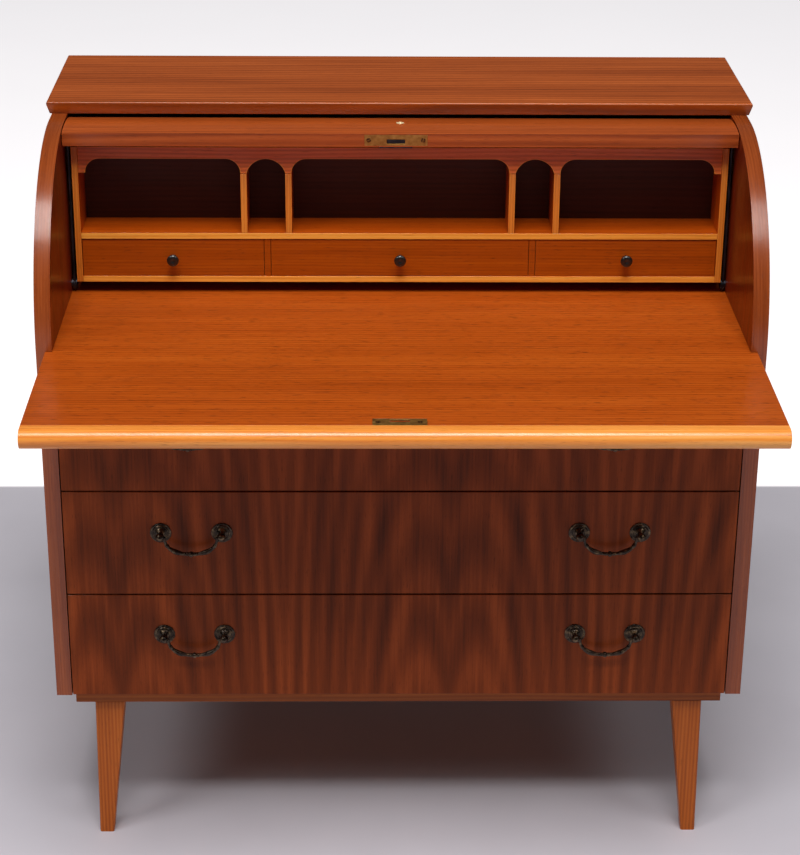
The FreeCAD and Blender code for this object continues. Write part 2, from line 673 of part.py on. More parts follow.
def arm(label, hand):
    """Flat steel arm: an eye on the pivot, a straight leg and a curved head let into the
    end of the roll, with three screw holes."""
    placement = swing()
    placement.Base.x = hand * value("arm_inner")
    body = new_body(label, placement)
    eye = ring(sketch_on(body, f"{label}_eye", "YZ_Plane"), "0", "0", "eye_radius")
    pad(body, eye, "arm_thick", flip=hand < 0)
    reach = "head_low + 1"
    along, rise = f"({reach}) * cos(arm_angle)", f"({reach}) * sin(arm_angle)"
    across, up = "arm_half * sin(arm_angle)", "arm_half * cos(arm_angle)"
    leg_face = outline(sketch_on(body, f"{label}_leg", "YZ_Plane"), [
        (across, up), (f"-{along} + {across}", f"{rise} + {up}"),
        (f"-{along} - {across}", f"{rise} - {up}"), (f"-{across}", f"-{up}")])
    pad(body, leg_face, "arm_thick", flip=hand < 0)
    head = outline(sketch_on(body, f"{label}_head", "YZ_Plane"), [
        polar("head_high", "head_start"),
        (*polar("head_high", "head_stop"), "head_high", -1),
        polar("head_low", "head_stop"),
        (*polar("head_low", "head_start"), "head_low", 1),
    ])
    pad(body, head, "arm_thick", flip=hand < 0)
    holes = sketch_on(body, f"{label}_holes", "YZ_Plane")
    ring(holes, "0", "0", "journal_radius")
    for angle in screw_angles:
        ring(holes, *polar("screw_line", angle), "screw_radius + journal_gap")
    pocket(body, holes, None, flip=hand > 0)
    return keep(body, label)


def arm_screws(name, hand):
    """Three round-headed screws in one arm's head."""
    placement = swing()
    placement.Base.x = hand * value("arm_inner")
    body = new_body(name, placement)
    body.AllowCompound = True
    shanks = sketch_on(body, f"{name}_shanks", "YZ_Plane")
    for angle in screw_angles:
        ring(shanks, *polar("screw_line", angle), "screw_radius")
    pad(body, shanks, "arm_thick", flip=hand < 0)
    heads = sketch_on(body, f"{name}_heads", "YZ_Plane", f"{hand} * arm_thick")
    for angle in screw_angles:
        ring(heads, *polar("screw_line", angle), "screw_head_radius")
    pad(body, heads, "screw_head", flip=hand < 0)
    return body


def pivot_pin(name, hand):
    """Shouldered pin from the side panel's bore through the arm's eye, with a flat head."""
    body = new_body(name, place("0", "pivot_depth", "pivot_height"))
    steps = [("inner_half + pin_bite", "0"), ("inner_half + pin_bite", "journal"),
             ("inner_half", "journal"), ("inner_half", "shoulder_radius"),
             ("arm_outer + arm_float", "shoulder_radius"), ("arm_outer + arm_float", "journal"),
             ("arm_inner - arm_float", "journal"),
             ("arm_inner - arm_float", "pin_head_radius"),
             ("arm_inner - arm_float - pin_head", "pin_head_radius"),
             ("arm_inner - arm_float - pin_head", "0")]
    corners = [(f"{hand} * ({across})", up) for across, up in steps]
    turned(body, outline(sketch_on(body, f"{name}_half", "XY_Plane"), corners), "H_Axis")
    return body


screw_angles = ("head_start + 3", "rail_end - 3", "head_stop - 3")
arm("arm_left", -1)
arm("arm_right", 1)
group("arm_screws", [arm_screws("screws_left", -1), arm_screws("screws_right", 1)])
group("pivot_pins", [pivot_pin("pin_left", -1), pivot_pin("pin_right", 1)])

# ================================================================ large drawers
pull_at = {"left": "-pull_apart / 2", "right": "pull_apart / 2"}


def drawer_side(name, span, base, groove_span):
    """Drawer side with a groove for its runner."""
    run = ("box_front", "box_front + box_depth")
    side = plank(name, span, run, (base, f"{base} + box_height"))
    under = f"{base} - box_lift + runner_lift"
    groove = plank(f"{name}_groove", groove_span, ("box_front + rail_depth", run[1]),
                   (f"{under} - runner_gap", f"{under} + runner_height + runner_gap"))
    return cut(name, side, [groove])


def pull_post(name, across, height):
    """Round backplate, post and ball of a drawer pull, with the bail's cross bore."""
    body = new_body(name, place(across, "0", height))
    neck = "-(post_reach - sqrt(ball_radius ^ 2 - post_radius ^ 2))"
    half = outline(sketch_on(body, f"{name}_half", "XY_Plane"), [
        ("0", "0"), ("rose_radius", "0"), ("rose_radius", "-rose_thick / 3"),
        ("rose_radius * 0.8", "-rose_thick * 0.6"), ("rose_radius * 0.6", "-rose_thick"),
        ("rose_radius * 0.4", "-rose_thick"), ("post_radius", "-rose_thick * 1.3"),
        ("post_radius", neck),
        ("0", "-(post_reach + ball_radius)", "ball_radius", -1)])
    turned(body, half, "V_Axis")
    bore = ring(sketch_on(body, f"{name}_bore", "YZ_Plane"),
                "-post_reach", "0", "bail_radius + pin_gap")
    through = pocket(body, bore, None)
    through.Midplane = True
    return body


def bail(label, across, height):
    """Swinging handle: a round bar bent down from the two posts to a straight grip."""
    body = new_body(label, place(across, "-post_reach", height))
    outer, inner = "(bail_shoulder + bail_bend)", "(bail_shoulder - bail_bend)"
    low = "-(bail_drop - bail_bend)"
    path = outline(sketch_on(body, f"{label}_path", "XZ_Plane"), [
        ("-pull_pin", "0"), (f"-{outer}", "0"),
        ("-bail_shoulder", "-bail_bend", "bail_bend", -1), ("-bail_shoulder", low),
        (f"-{inner}", "-bail_drop", "bail_bend", 1), (inner, "-bail_drop"),
        ("bail_shoulder", low, "bail_bend", 1), ("bail_shoulder", "-bail_bend"),
        (outer, "0", "bail_bend", -1), ("pull_pin", "0")], closed=False)
    bar = ring(sketch_on(body, f"{label}_bar", "YZ_Plane", "-pull_pin"),
               "0", "0", "bail_radius")
    pipe = body.newObject("PartDesign::AdditivePipe", f"{label}_pipe")
    pipe.Profile = bar
    pipe.Spine = path
    return keep(body, label)


for name, row in drawer_rows.items():
    low = f"(grid_low + {row} * pitch)"
    lap = " - low_front_lap" if row == 0 else ""
    keep(plank(f"drawer_{name}_front", ("-front_half", "front_half"), ("0", "front_thick"),
               (low + lap, f"{low} + pitch - front_gap")), f"drawer_{name}_front")
    base = f"({low} + box_lift)"
    wall = ("box_half - box_wall", "box_half")
    worn = ("box_half - runner_depth - runner_gap", "box_half")
    within = ("-(box_half - box_wall)", "box_half - box_wall")
    box_end = "box_front + box_depth - box_wall"
    group(f"drawer_{name}_box", [
        drawer_side(f"{name}_side_right", wall, base, worn),
        drawer_side(f"{name}_side_left", both_sides(wall), base, both_sides(worn)),
        plank(f"{name}_rear", within, (box_end, "box_front + box_depth"),
              (base, f"{base} + box_height")),
        plank(f"{name}_floor", within, ("box_front", box_end),
              (f"{base} + floor_lift", f"{base} + floor_lift + floor_thick")),
    ])
    pull_height = f"{low} + pitch - front_gap - pull_drop"
    group(f"drawer_{name}_posts", [
        pull_post(f"{name}_post_{side}_{end}", f"{across} {sign} pull_spread / 2", pull_height)
        for side, across in pull_at.items()
        for end, sign in (("outer", "-"), ("inner", "+"))])
    for side, across in pull_at.items():
        bail(f"bail_{name}_{side}", across, pull_height)

# ================================================================ small drawers
side_bay = ("divider_at + unit_thick / 2", "unit_clear")
bays = {
    "left": both_sides(side_bay),
    "middle": ("-(divider_at - unit_thick / 2)", "divider_at - unit_thick / 2"),
    "right": side_bay,
}


def knob(label, across, height):
    """Turned knob: a neck with a ring at its foot and a flattened ball."""
    body = new_body(label, place(across, "unit_front + small_recess", height))
    half = outline(sketch_on(body, f"{label}_half", "XY_Plane"), [
        ("0", "0"), ("knob_radius * 0.6", "0"), ("knob_radius * 0.6", "-knob_reach / 12"),
        ("knob_neck", "-knob_reach / 7"), ("knob_neck", "-knob_reach / 2.6"),
        ("knob_radius", "-knob_reach * 0.6"), ("knob_radius", "-knob_reach * 0.8"),
        ("knob_radius * 0.6", "-knob_reach"), ("0", "-knob_reach")])
    turned(body, half, "V_Axis")
    return keep(body, label)


for name, (left, right) in bays.items():
    low, high = "(unit_low + unit_thick + small_rest)", "(shelf_top - unit_thick - small_gap)"
    face_back = "unit_front + small_recess + small_front"
    keep(plank(f"small_{name}_front", (f"{left} + small_gap", f"{right} - small_gap"),
               ("unit_front + small_recess", face_back), (low, high)), f"small_{name}_front")
    west, east = f"{left} + small_gap", f"{right} - small_gap"
    rear = "unit_floor_end - small_back_gap"
    band = (low, f"{high} - small_box_short")
    group(f"small_{name}_box", [
        plank(f"small_{name}_west", (west, f"{west} + small_wall"), (face_back, rear), band),
        plank(f"small_{name}_east", (f"{east} - small_wall", east), (face_back, rear), band),
        plank(f"small_{name}_rear", (f"{west} + small_wall", f"{east} - small_wall"),
              (f"{rear} - small_wall", rear), band),
        plank(f"small_{name}_floor", (f"{west} + small_wall", f"{east} - small_wall"),
              (face_back, f"{rear} - small_wall"), (low, f"{low} + small_floor")),
    ])
    knob(f"small_{name}_knob", f"({left} + {right}) / 2", f"({low} + {high}) / 2")

# ================================================================ check and write
doc.recompute()
for thing in doc.Objects:
    if {"Invalid", "Error"} & set(thing.State):
        raise RuntimeError(f"{thing.Name} did not build: {thing.State}")
for piece in nodes:
    if piece.Shape.isNull() or not piece.Shape.isValid() or not piece.Shape.Solids:
        raise RuntimeError(f"{piece.Label} has no sound shape")

os.makedirs("parts", exist_ok=True)
for piece in nodes:
    piece.Shape.exportStep(os.path.join("parts", f"{piece.Label}.step"))
print(f"{len(nodes)} sub-parts, {sum(len(piece.Shape.Solids) for piece in nodes)} solids")
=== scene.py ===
import bmesh
import bpy
import math
import numpy as np
from mathutils import Matrix, Vector
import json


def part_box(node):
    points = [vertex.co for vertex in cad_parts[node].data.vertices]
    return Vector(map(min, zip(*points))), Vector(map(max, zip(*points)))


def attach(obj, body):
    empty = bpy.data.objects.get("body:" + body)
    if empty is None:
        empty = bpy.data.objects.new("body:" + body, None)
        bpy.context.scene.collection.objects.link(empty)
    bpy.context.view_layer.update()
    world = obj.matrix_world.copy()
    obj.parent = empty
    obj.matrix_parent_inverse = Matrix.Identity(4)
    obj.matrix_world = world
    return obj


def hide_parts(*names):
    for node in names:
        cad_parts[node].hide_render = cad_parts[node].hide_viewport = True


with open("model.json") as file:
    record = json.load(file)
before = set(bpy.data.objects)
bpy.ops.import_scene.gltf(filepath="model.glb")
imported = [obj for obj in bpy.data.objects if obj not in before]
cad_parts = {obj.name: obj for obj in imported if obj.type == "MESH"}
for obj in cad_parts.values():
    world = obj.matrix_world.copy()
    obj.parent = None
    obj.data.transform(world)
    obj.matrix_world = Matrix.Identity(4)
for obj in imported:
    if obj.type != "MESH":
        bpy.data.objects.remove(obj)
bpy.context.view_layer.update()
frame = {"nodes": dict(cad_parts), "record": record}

# The two side panels: 22 mm board veneered in dark walnut, with the grain standing upright. Their front
# edges run straight up and then round a quarter circle, covered by a thin strip whose grain follows the edge.


class Amount:
    """A number that changes over a surface. Sums, differences and products of it add Math nodes."""

    def __init__(self, finish, socket):
        self.finish, self.socket = finish, socket

    def math(self, operation, *terms):
        node = self.finish.add("ShaderNodeMath", {"operation": operation}, dict(enumerate(terms)))
        return Amount(self.finish, node.outputs[0])

    def __add__(self, other):
        return self.math("ADD", self, other)

    def __sub__(self, other):
        return self.math("SUBTRACT", self, other)

    def __rsub__(self, other):
        return self.math("SUBTRACT", other, self)

    def __mul__(self, other):
        return self.math("MULTIPLY", self, other)

    __radd__, __rmul__ = __add__, __mul__

    def root(self):
        return self.math("SQRT", self)

    def wave(self):
        return self.math("SINE", self)

    def mirrored(self, width):
        return self.math("PINGPONG", self, width)

    def step(self, low, high):
        """0 below low, 1 above high, and a smooth climb between them."""
        node = self.finish.add("ShaderNodeMapRange", {"interpolation_type": "SMOOTHSTEP"},
                               {"Value": self, "From Min": low, "From Max": high})
        return Amount(self.finish, node.outputs["Result"])


class Finish:
    """One material with a Principled shader. Constants go straight onto the shader's sockets."""

    def __init__(self, name, **constants):
        self.material = bpy.data.materials.new(name)
        self.material.use_nodes = True
        self.tree = self.material.node_tree
        self.tree.nodes.clear()
        self.shader = self.add("ShaderNodeBsdfPrincipled", {},
                               {key.replace("_", " "): value for key, value in constants.items()})
        self.add("ShaderNodeOutputMaterial", {}, {"Surface": self.shader.outputs[0]})
        self.spot = self.add("ShaderNodeTexCoord").outputs["Object"]

    def add(self, kind, settings=(), sockets=()):
        """A node of that type: its settings first (stops are a ramp's), then its sockets' values or links."""
        node = self.tree.nodes.new(kind)
        for key, value in dict(settings).items():
            if key == "stops":
                ramp = node.color_ramp.elements
                for number, (place, colour) in enumerate(value):
                    stop = ramp[number] if number < len(ramp) else ramp.new(place)
                    stop.position, stop.color = place, (*colour, 1)
            else:
                setattr(node, key, value)
        for key, value in dict(sockets).items():
            value = value.socket if isinstance(value, Amount) else value
            if isinstance(value, bpy.types.NodeSocket):
                self.tree.links.new(value, node.inputs[key])
            else:
                node.inputs[key].default_value = value
        return node

    def reach(self, direction):
        """How far the surface point lies along a direction from the origin, in metres."""
        node = self.add("ShaderNodeVectorMath", {"operation": "DOT_PRODUCT"}, {0: self.spot, 1: direction})
        return Amount(self, node.outputs["Value"])

    def noise(self, across, along, depth, detail=3.0, roughness=0.5):
        """Cloudy noise from 0 to 1 at a place given by three amounts, one unit to a cloud."""
        place = self.add("ShaderNodeCombineXYZ", {}, {0: across, 1: along, 2: depth})
        node = self.add("ShaderNodeTexNoise", {}, {"Vector": place.outputs[0], "Scale": 1.0, "Detail": detail,
                                                   "Roughness": roughness})
        return Amount(self, node.outputs[0])

    def blend(self, amount, first, second):
        """The first colour where the amount is 0 and the second where it is 1."""
        node = self.add("ShaderNodeMix", {"data_type": "RGBA"}, {0: amount, 6: first, 7: second})
        return node.outputs[2]

    def ramp(self, amount, stops):
        return self.add("ShaderNodeValToRGB", {"stops": stops}, {0: amount}).outputs[0]

    def wear(self, colour, roughness, height, depth):
        """Links the colour and roughness, and a bump of that height pattern, depth metres deep."""
        bump = self.add("ShaderNodeBump", {}, {"Height": height, "Distance": depth, "Strength": 0.6})
        for key, value in (("Base Color", colour), ("Roughness", roughness), ("Normal", bump.outputs[0])):
            self.tree.links.new(value.socket if isinstance(value, Amount) else value, self.shader.inputs[key])
        return self.material


def tint(red, green, blue):
    """A paint maker's 0 to 255 colour as the linear light that the shader takes, by the sRGB curve."""
    shares = (red / 255, green / 255, blue / 255)
    return tuple(((c + 0.055) / 1.055) ** 2.4 if c > 10 / 255 else c / 12.92 for c in shares)


def timber(name, across, along, tones, leaf=0.0, start=0.0, heart=0.0, rings=0.008, rise=0.1, figure=0.5,
           streaks=0.6, fibre=0.5, pores=0.4, gloss=0.36, coat=0.2, shine=0.25, wrapped=False):
    """Wood as a plane through a log. u is the way across the grain, v along it and w into the piece. The year
    rings are the waves of sqrt((u - heart)^2 + (rise * v)^2) / rings, so they close into long arches at the
    heart and run straight beside it. A leaf width mirrors u at each veneer joint, as matched leaves are laid.
    Wrapped wood lies over an edge, so nothing changes quickly with w either. The noises have, to the metre of
    u and of v: 6 and 1.1 clouds for the rings' wander, 15 and 55 for broad and narrow streaks, 330 and 7 for
    fibres, 850 and 55 for pores, and 23 and 19 for scuffs. gloss is the mean roughness."""
    finish = Finish(name, Coat_Weight=coat, Coat_Roughness=0.2, Specular_IOR_Level=shine)
    u, v = finish.reach(across), finish.reach(along)
    w = finish.reach(tuple(np.cross(across, along)))
    if leaf:
        u = (u - start).mirrored(leaf)
    side = w * 0.02 if wrapped else w
    wander = finish.noise(u * 6, v * 1.1, side * 6, detail=2) - 0.5
    bent = u + side * 0.5 + wander * 0.02 - heart
    climb = v * rise
    radius = (bent * bent + climb * climb).root()
    ring = (radius * (2 * math.pi / rings) + wander * 5).wave() * 0.5 + 0.5
    streak = (finish.noise(u * 15, v * 0.9, side * 15, detail=3)
              + finish.noise(u * 55 + 9, v * 1.6, side * 55, detail=4, roughness=0.6)) * 0.5
    fine = finish.noise(u * 330, v * 7, side * 330, detail=4, roughness=0.65)
    fleck = finish.noise(u * 850 + 40, v * 55, side * 850, detail=2).step(0.60, 0.72)
    depth = (ring - 0.5) * figure + (streak - 0.5) * (2.2 * streaks) + (fine - 0.5) * fibre + 0.5
    dark, middle, light = (tint(*t) for t in tones)
    colour = finish.ramp(depth, [(0.12, dark), (0.5, middle), (0.88, light)])
    colour = finish.blend(fleck * pores, colour, tuple(0.35 * c for c in dark) + (1,))
    scuff = finish.noise(u * 23, v * 19, side * 23 + 7, detail=5)
    roughness = (fine - 0.5) * 0.16 + (scuff - 0.5) * 0.22 + fleck * 0.12 + gloss
    pore_depth = 0.00012
    return finish.wear(colour, roughness, fine * 0.5 - fleck, pore_depth)


body_of = {n: body for body, nodes in frame["record"]["behaviour"]["bodies"].items() for n in nodes}


def settle(piece, *nodes):
    """The piece rides as its first CAD node does, and stands for all of them."""
    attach(piece, body_of[nodes[0]])
    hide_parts(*nodes)
    return piece


SHARP = math.radians(28)


def eased(node, face, width=0.0007, edge=None, is_edge=None):
    """The CAD piece with its arrises rubbed down: its triangles are merged into flat faces, and a narrow
    bevel rounds every corner sharper than SHARP. is_edge picks, by normal, what takes the edge finish."""
    mesh = frame["nodes"][node].data.copy()
    mesh.materials.clear()
    shape = bmesh.new()
    shape.from_mesh(mesh)
    bmesh.ops.remove_doubles(shape, verts=shape.verts, dist=0.00001)
    bmesh.ops.dissolve_limit(shape, angle_limit=math.radians(0.6), verts=shape.verts, edges=shape.edges)
    for line in shape.edges:
        line.smooth = len(line.link_faces) == 2 and line.calc_face_angle(0.0) < SHARP
    shape.to_mesh(mesh)
    shape.free()
    mesh.polygons.foreach_set("use_smooth", np.ones(len(mesh.polygons), bool))
    mesh.materials.append(face)
    if edge:
        mesh.materials.append(edge)
        normals = np.empty(len(mesh.polygons) * 3, np.float32)
        mesh.polygons.foreach_get("normal", normals)
        mesh.polygons.foreach_set("material_index", is_edge(normals.reshape(-1, 3)).astype(np.int32))
    piece = bpy.data.objects.new(node + "_made", mesh)
    bpy.context.scene.collection.objects.link(piece)
    bevel = piece.modifiers.new("arris", "BEVEL")
    bevel.width, bevel.segments, bevel.limit_method = width, 2, "ANGLE"
    bevel.angle_limit, bevel.harden_normals = SHARP, True
    return settle(piece, node)


X, Y, Z = (1, 0, 0), (0, 1, 0), (0, 0, 1)
side_face = timber("side_walnut", Y, Z, [(76, 22, 5), (118, 38, 9), (150, 56, 16)], heart=0.1, rings=0.009,
                   rise=0.09, figure=0.2, streaks=0.6, pores=0.35, shine=0.12)
side_strip = timber("side_strip", X, (0, 0.7, 0.7), [(92, 37, 12), (134, 60, 21), (168, 84, 36)], rings=0.004,
                    heart=0.3, figure=0.08, streaks=0.7, pores=0.3, gloss=0.28, coat=0.5, wrapped=True)
for name in ("side_left", "side_right"):
    eased(name, side_face, 0.0012, side_strip, lambda n: np.abs(n[:, 0]) < 0.5)

# The top board: veneered panel with a lipped, rounded upper arris and a leaning underside edge. Its grain
# runs from side to side in broad leaves, and the varnish has dulled where things have stood.
top_face = timber("top_walnut", Y, X, [(112, 47, 12), (158, 73, 25), (190, 97, 42)], heart=0.18, rings=0.010,
                  rise=0.06, figure=0.28, streaks=0.6, pores=0.35, gloss=0.4, coat=0.25)
top_edge = timber("top_edge", (0, 0.6, 0.8), X, [(90, 33, 3), (132, 54, 5), (165, 72, 10)], heart=0.3,
                  rings=0.005, figure=0.3, streaks=0.6, pores=0.3, gloss=0.34, coat=0.3)
eased("top_board", top_face, 0.0006, top_edge, lambda n: n[:, 2] < 0.3)

# The roll: a solid quarter-round shell of laminated strips under one veneer that runs from side to side,
# with a thick rail at its front that holds the lock.
rail_face = timber("rail_veneer", (0, 0.98, 0.17), X, [(111, 45, 13), (162, 72, 24), (192, 96, 39)],
                   heart=0.16, rings=0.006, rise=0.05, figure=0.3, streaks=0.55, pores=0.4, gloss=0.33,
                   coat=0.5)
shell_face = timber("shell_veneer", (0, 0.7, -0.7), X, [(97, 37, 11), (148, 62, 20), (178, 87, 34)],
                    heart=0.3, rings=0.008, rise=0.05, figure=0.3, streaks=0.55, pores=0.4)
eased("roll_rail", rail_face, 0.0009)
eased("roll_shell", shell_face, 0.0005)

# The writing board: a veneered panel that slides on grooves in the sides. Its orange teak shows fine dark pores
# and long streaks from side to side.
board_face = timber("board_teak", Y, X, [(130, 52, 8), (170, 73, 14), (192, 94, 25)], heart=0.42,
                    rings=0.0075, rise=0.03, figure=0.22, streaks=0.4, fibre=0.6, pores=0.85)
eased("writing_board", board_face, 0.0004)

# The front lipping: one honey-coloured solid strip with a half-round nose, glued along the writing board.
lipping_face = timber("lipping_teak", (0, 0.7, 0.7), X, [(206, 108, 36), (236, 146, 60), (244, 174, 92)],
                      heart=0.3, rings=0.005, rise=0.03, figure=0.25, streaks=0.5, pores=0.3, gloss=0.3,
                      coat=0.4)
eased("front_lipping", lipping_face, 0.0004)

# The lock furniture: a strike plate let into the board, a lock plate let into the rail's lower front and a
# small, brighter keyhole plate above it. The plates are brass gone dull and yellow-brown, held by countersunk
# slotted screws in a much darker brass, which is painted shade standing in for the shadow in their sunk heads.
brass = Finish("lock_brass", Metallic=0.85, Coat_Weight=0.1)
tarnish = brass.noise(brass.reach(X) * 160, brass.reach(Y) * 160, brass.reach(Z) * 160, detail=5)
rubbed = brass.noise(brass.reach(X) * 60, brass.reach(Y) * 900, brass.reach(Z) * 900, detail=2)
brass_face = brass.wear(brass.ramp(tarnish, [(0.3, tint(150, 112, 56)), (0.55, tint(178, 138, 72)),
                                             (0.75, tint(196, 158, 90))]),
                        (tarnish - 0.5) * 0.4 + 0.42, rubbed + tarnish, 0.00008)


def grid_piece(name, points, finish, around=False, smooth=True):
    """A sheet through a grid of points, shape (rows, columns, 3). Around joins the last column to the first and
    closes both ends with a single face, each facing outwards."""
    rows, columns = points.shape[:2]
    index = np.arange(rows * columns).reshape(rows, columns)
    after = np.roll(index, -1, axis=1) if around else index[:, 1:]
    before = index if around else index[:, :-1]
    corners = [before[:-1], after[:-1], after[1:], before[1:]]
    quads = np.stack(corners, axis=-1).reshape(-1, 4).tolist()
    ends = [index[0][::-1].tolist(), index[-1].tolist()] if around else []
    mesh = bpy.data.meshes.new(name)
    mesh.from_pydata(points.reshape(-1, 3).tolist(), [], quads + ends)
    mesh.polygons.foreach_set("use_smooth", np.full(len(mesh.polygons), smooth))
    mesh.materials.append(finish)
    shape = bmesh.new()
    shape.from_mesh(mesh)
    bmesh.ops.recalc_face_normals(shape, faces=shape.faces)
    shape.to_mesh(mesh)
    shape.free()
    piece = bpy.data.objects.new(name, mesh)
    bpy.context.scene.collection.objects.link(piece)
    return piece


def screw_head(name, centre, out, slot_way, radius, finish, body):
    """A countersunk slotted head. A square grid (a, b) from -1 to 1 is drawn into a disc by
    (a sqrt(1 - b^2 / 2), b sqrt(1 - a^2 / 2)). It domes by dome * r (1 - d^2) at d radii from its middle,
    sinks by slot_depth * r where |a| is under half_slot, and its rim turns down by drop * r all round."""
    half_slot, slot_depth, dome, drop = 0.13, 0.2, 0.08, 0.35
    walls = np.array([half_slot + 0.0001, half_slot - 0.0001])
    line = np.concatenate([np.linspace(-1, -0.2, 9), -walls, [0.0], walls[::-1], np.linspace(0.2, 1, 9)])
    a, b = np.meshgrid(line, np.linspace(-1, 1, 23), indexing="ij")
    across, along = a * np.sqrt(1 - b * b / 2), b * np.sqrt(1 - a * a / 2)
    height = dome * (1 - across ** 2 - along ** 2) - slot_depth * (np.abs(a) < half_slot)
    rim = (np.abs(a) > 0.999) | (np.abs(b) > 0.999)
    height = np.where(rim, -drop, height)
    out, slot_way = np.array(out, float), np.array(slot_way, float)
    side = np.cross(slot_way, out)
    points = np.array(centre) + radius * (across[..., None] * side + along[..., None] * slot_way
                                          + height[..., None] * out)
    piece = grid_piece(name, points, finish, smooth=False)
    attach(piece, body)
    return piece


for name in ("lock_plate", "strike_plate"):
    eased(name, brass_face, 0.00025)
# The screws' dark brass is painted shade: darker than the plates, it stands in for the shadow in their sunk,
# slotted heads.
painted_shade_screw = Finish("screw_brass_painted_shade", Metallic=0.85)
painted_shade_mottle = painted_shade_screw.noise(painted_shade_screw.reach(X) * 420, painted_shade_screw.reach(Y) * 420, painted_shade_screw.reach(Z) * 420, detail=4)
screw_face = painted_shade_screw.wear(painted_shade_screw.ramp(painted_shade_mottle, [(0.3, tint(58, 36, 22)), (0.55, tint(96, 64, 38)),
                                        (0.75, tint(150, 112, 66))]), (painted_shade_mottle - 0.5) * 0.4 + 0.4, painted_shade_mottle, 0.00006)
bright = Finish("key_brass", Metallic=0.3, Coat_Weight=0.2)
polish = bright.noise(bright.reach(X) * 500, bright.reach(Y) * 500, bright.reach(Z) * 500, detail=4)
bright_face = bright.wear(bright.ramp(polish, [(0.3, tint(232, 204, 148)), (0.7, tint(252, 236, 196))]),
                          (polish - 0.5) * 0.3 + 0.34, polish, 0.00004)
key_points = np.array([v.co for v in frame["nodes"]["key_escutcheon"].data.vertices])
key_middle = (key_points.min(0) + key_points.max(0)) / 2
key_turn = math.radians(91.4)
key_out = np.array((0, -math.cos(key_turn), math.sin(key_turn)))
key_rise = np.array((0, math.sin(key_turn), math.cos(key_turn)))
key_middle += key_out * ((key_points @ key_out).max() - key_middle @ key_out)
t = np.linspace(0, 2 * math.pi, 64, endpoint=False)
plate_radius, plate_height = np.array([(1.5, -3.0), (1.5, 0.2), (1.9, 0.55), (3.2, 0.7), (4.6, 0.45),
                                       (5.1, 0.1), (5.2, -0.4)]).T[..., None] / 1000
lobes, lobe_depth, plain_radius = 4, 0.13, 0.003
lobed = plate_radius * (1 + lobe_depth * np.cos(lobes * t) * (plate_radius > plain_radius))
key_grid = (key_middle + (lobed * np.cos(t))[..., None] * X + (lobed * np.sin(t))[..., None] * key_rise
            + (plate_height + 0 * t)[..., None] * key_out)
settle(grid_piece("key_plate", key_grid, bright_face, around=True), "key_escutcheon")
screw_radius, screw_lift = 0.0036, 0.0001
plate_low, plate_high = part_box("strike_plate")
strike_middle_y = (plate_low.y + plate_high.y) / 2
for number, x in enumerate((-0.0346, 0.0182)):
    slot_turn = 0.6 + number
    screw_head(f"strike_screw_{number + 1}", (x, strike_middle_y, plate_high.z + screw_lift), Z,
               (math.cos(slot_turn), math.sin(slot_turn), 0), screw_radius, screw_face, "board")
plate_turn = math.radians(83.0)
plate_front = np.array((0, -math.sin(plate_turn), -math.cos(plate_turn)))
plate_up = np.array((0, -math.cos(plate_turn), math.sin(plate_turn)))
plate_points = np.array([v.co for v in frame["nodes"]["lock_plate"].data.vertices])
plate_middle = (plate_points.min(0) + plate_points.max(0)) / 2
plate_middle += plate_front * ((plate_points @ plate_front).max() - plate_middle @ plate_front)
for number, x in enumerate((-0.0452, 0.0306)):
    slot_turn = 0.4 + number
    way = math.cos(slot_turn) * np.array(X) + math.sin(slot_turn) * plate_up
    screw_head(f"lock_screw_{number + 1}", (x, *(plate_middle + plate_front * screw_lift)[1:]), plate_front,
               way, screw_radius, screw_face, "roll")

# The pigeonhole unit: thin teak-veneered boards with a bright solid lipping along every front edge. It stands
# on the deck between the sides, and the roll passes behind it.
unit_face = timber("unit_teak", Y, X, [(130, 47, 3), (176, 72, 6), (204, 94, 12)], heart=0.2, rings=0.006,
                   rise=0.04, figure=0.25, streaks=0.5, pores=0.45)
upright_face = timber("unit_upright_teak", Y, Z, [(139, 50, 1), (189, 77, 3), (219, 100, 6)], heart=0.2,
                      rings=0.006, rise=0.04, figure=0.25, streaks=0.5, pores=0.45)
unit_lipping = timber("unit_lipping", (0, 0.7, 0.7), X, [(199, 111, 32), (235, 152, 55), (249, 181, 82)],
                      heart=0.3, rings=0.004, rise=0.03, figure=0.2, streaks=0.5, pores=0.2, gloss=0.32,
                      coat=0.3, wrapped=True)
upright_lipping = timber("unit_upright_lipping", X, Z, [(177, 89, 25), (209, 120, 39), (227, 146, 59)],
                         heart=0.3, rings=0.004, rise=0.03, figure=0.2, streaks=0.5, pores=0.2, gloss=0.32,
                         coat=0.3, wrapped=True)
for name in ("unit_bottom", "unit_shelf", "unit_top"):
    eased(name, unit_face, 0.0005, unit_lipping, lambda n: n[:, 1] < -0.7)
for name in ("unit_sides", "unit_walls"):
    eased(name, upright_face, 0.0005, upright_lipping, lambda n: n[:, 1] < -0.3)
# The pigeonhole back is painted near-black, far darker than the teak around it: painted shade standing in for
# the shadow deep in the pigeonholes.
eased("unit_back", timber("unit_back_ply_painted_shade", Z, X, [(44, 13, 4), (62, 20, 6), (76, 28, 10)], heart=0.3,
                          rise=0.05, figure=0.2, pores=0.4, gloss=0.45, coat=0.05), 0.0003)

# The valance: a thin strip of veneered board across the top of the unit, sawn into a row of flat arches.
# Its sawn edge and the narrow bevel along it show lighter than the face.
valance_face = timber("valance_veneer", Z, X, [(160, 72, 30), (218, 106, 44), (238, 132, 66)], heart=0.25,
                      rings=0.006, rise=0.05, figure=0.25, streaks=0.5, pores=0.35)
valance = eased("unit_valance", valance_face, 0.0007, unit_lipping, lambda n: np.abs(n[:, 1]) < 0.5)
valance.modifiers["arris"].material = 1

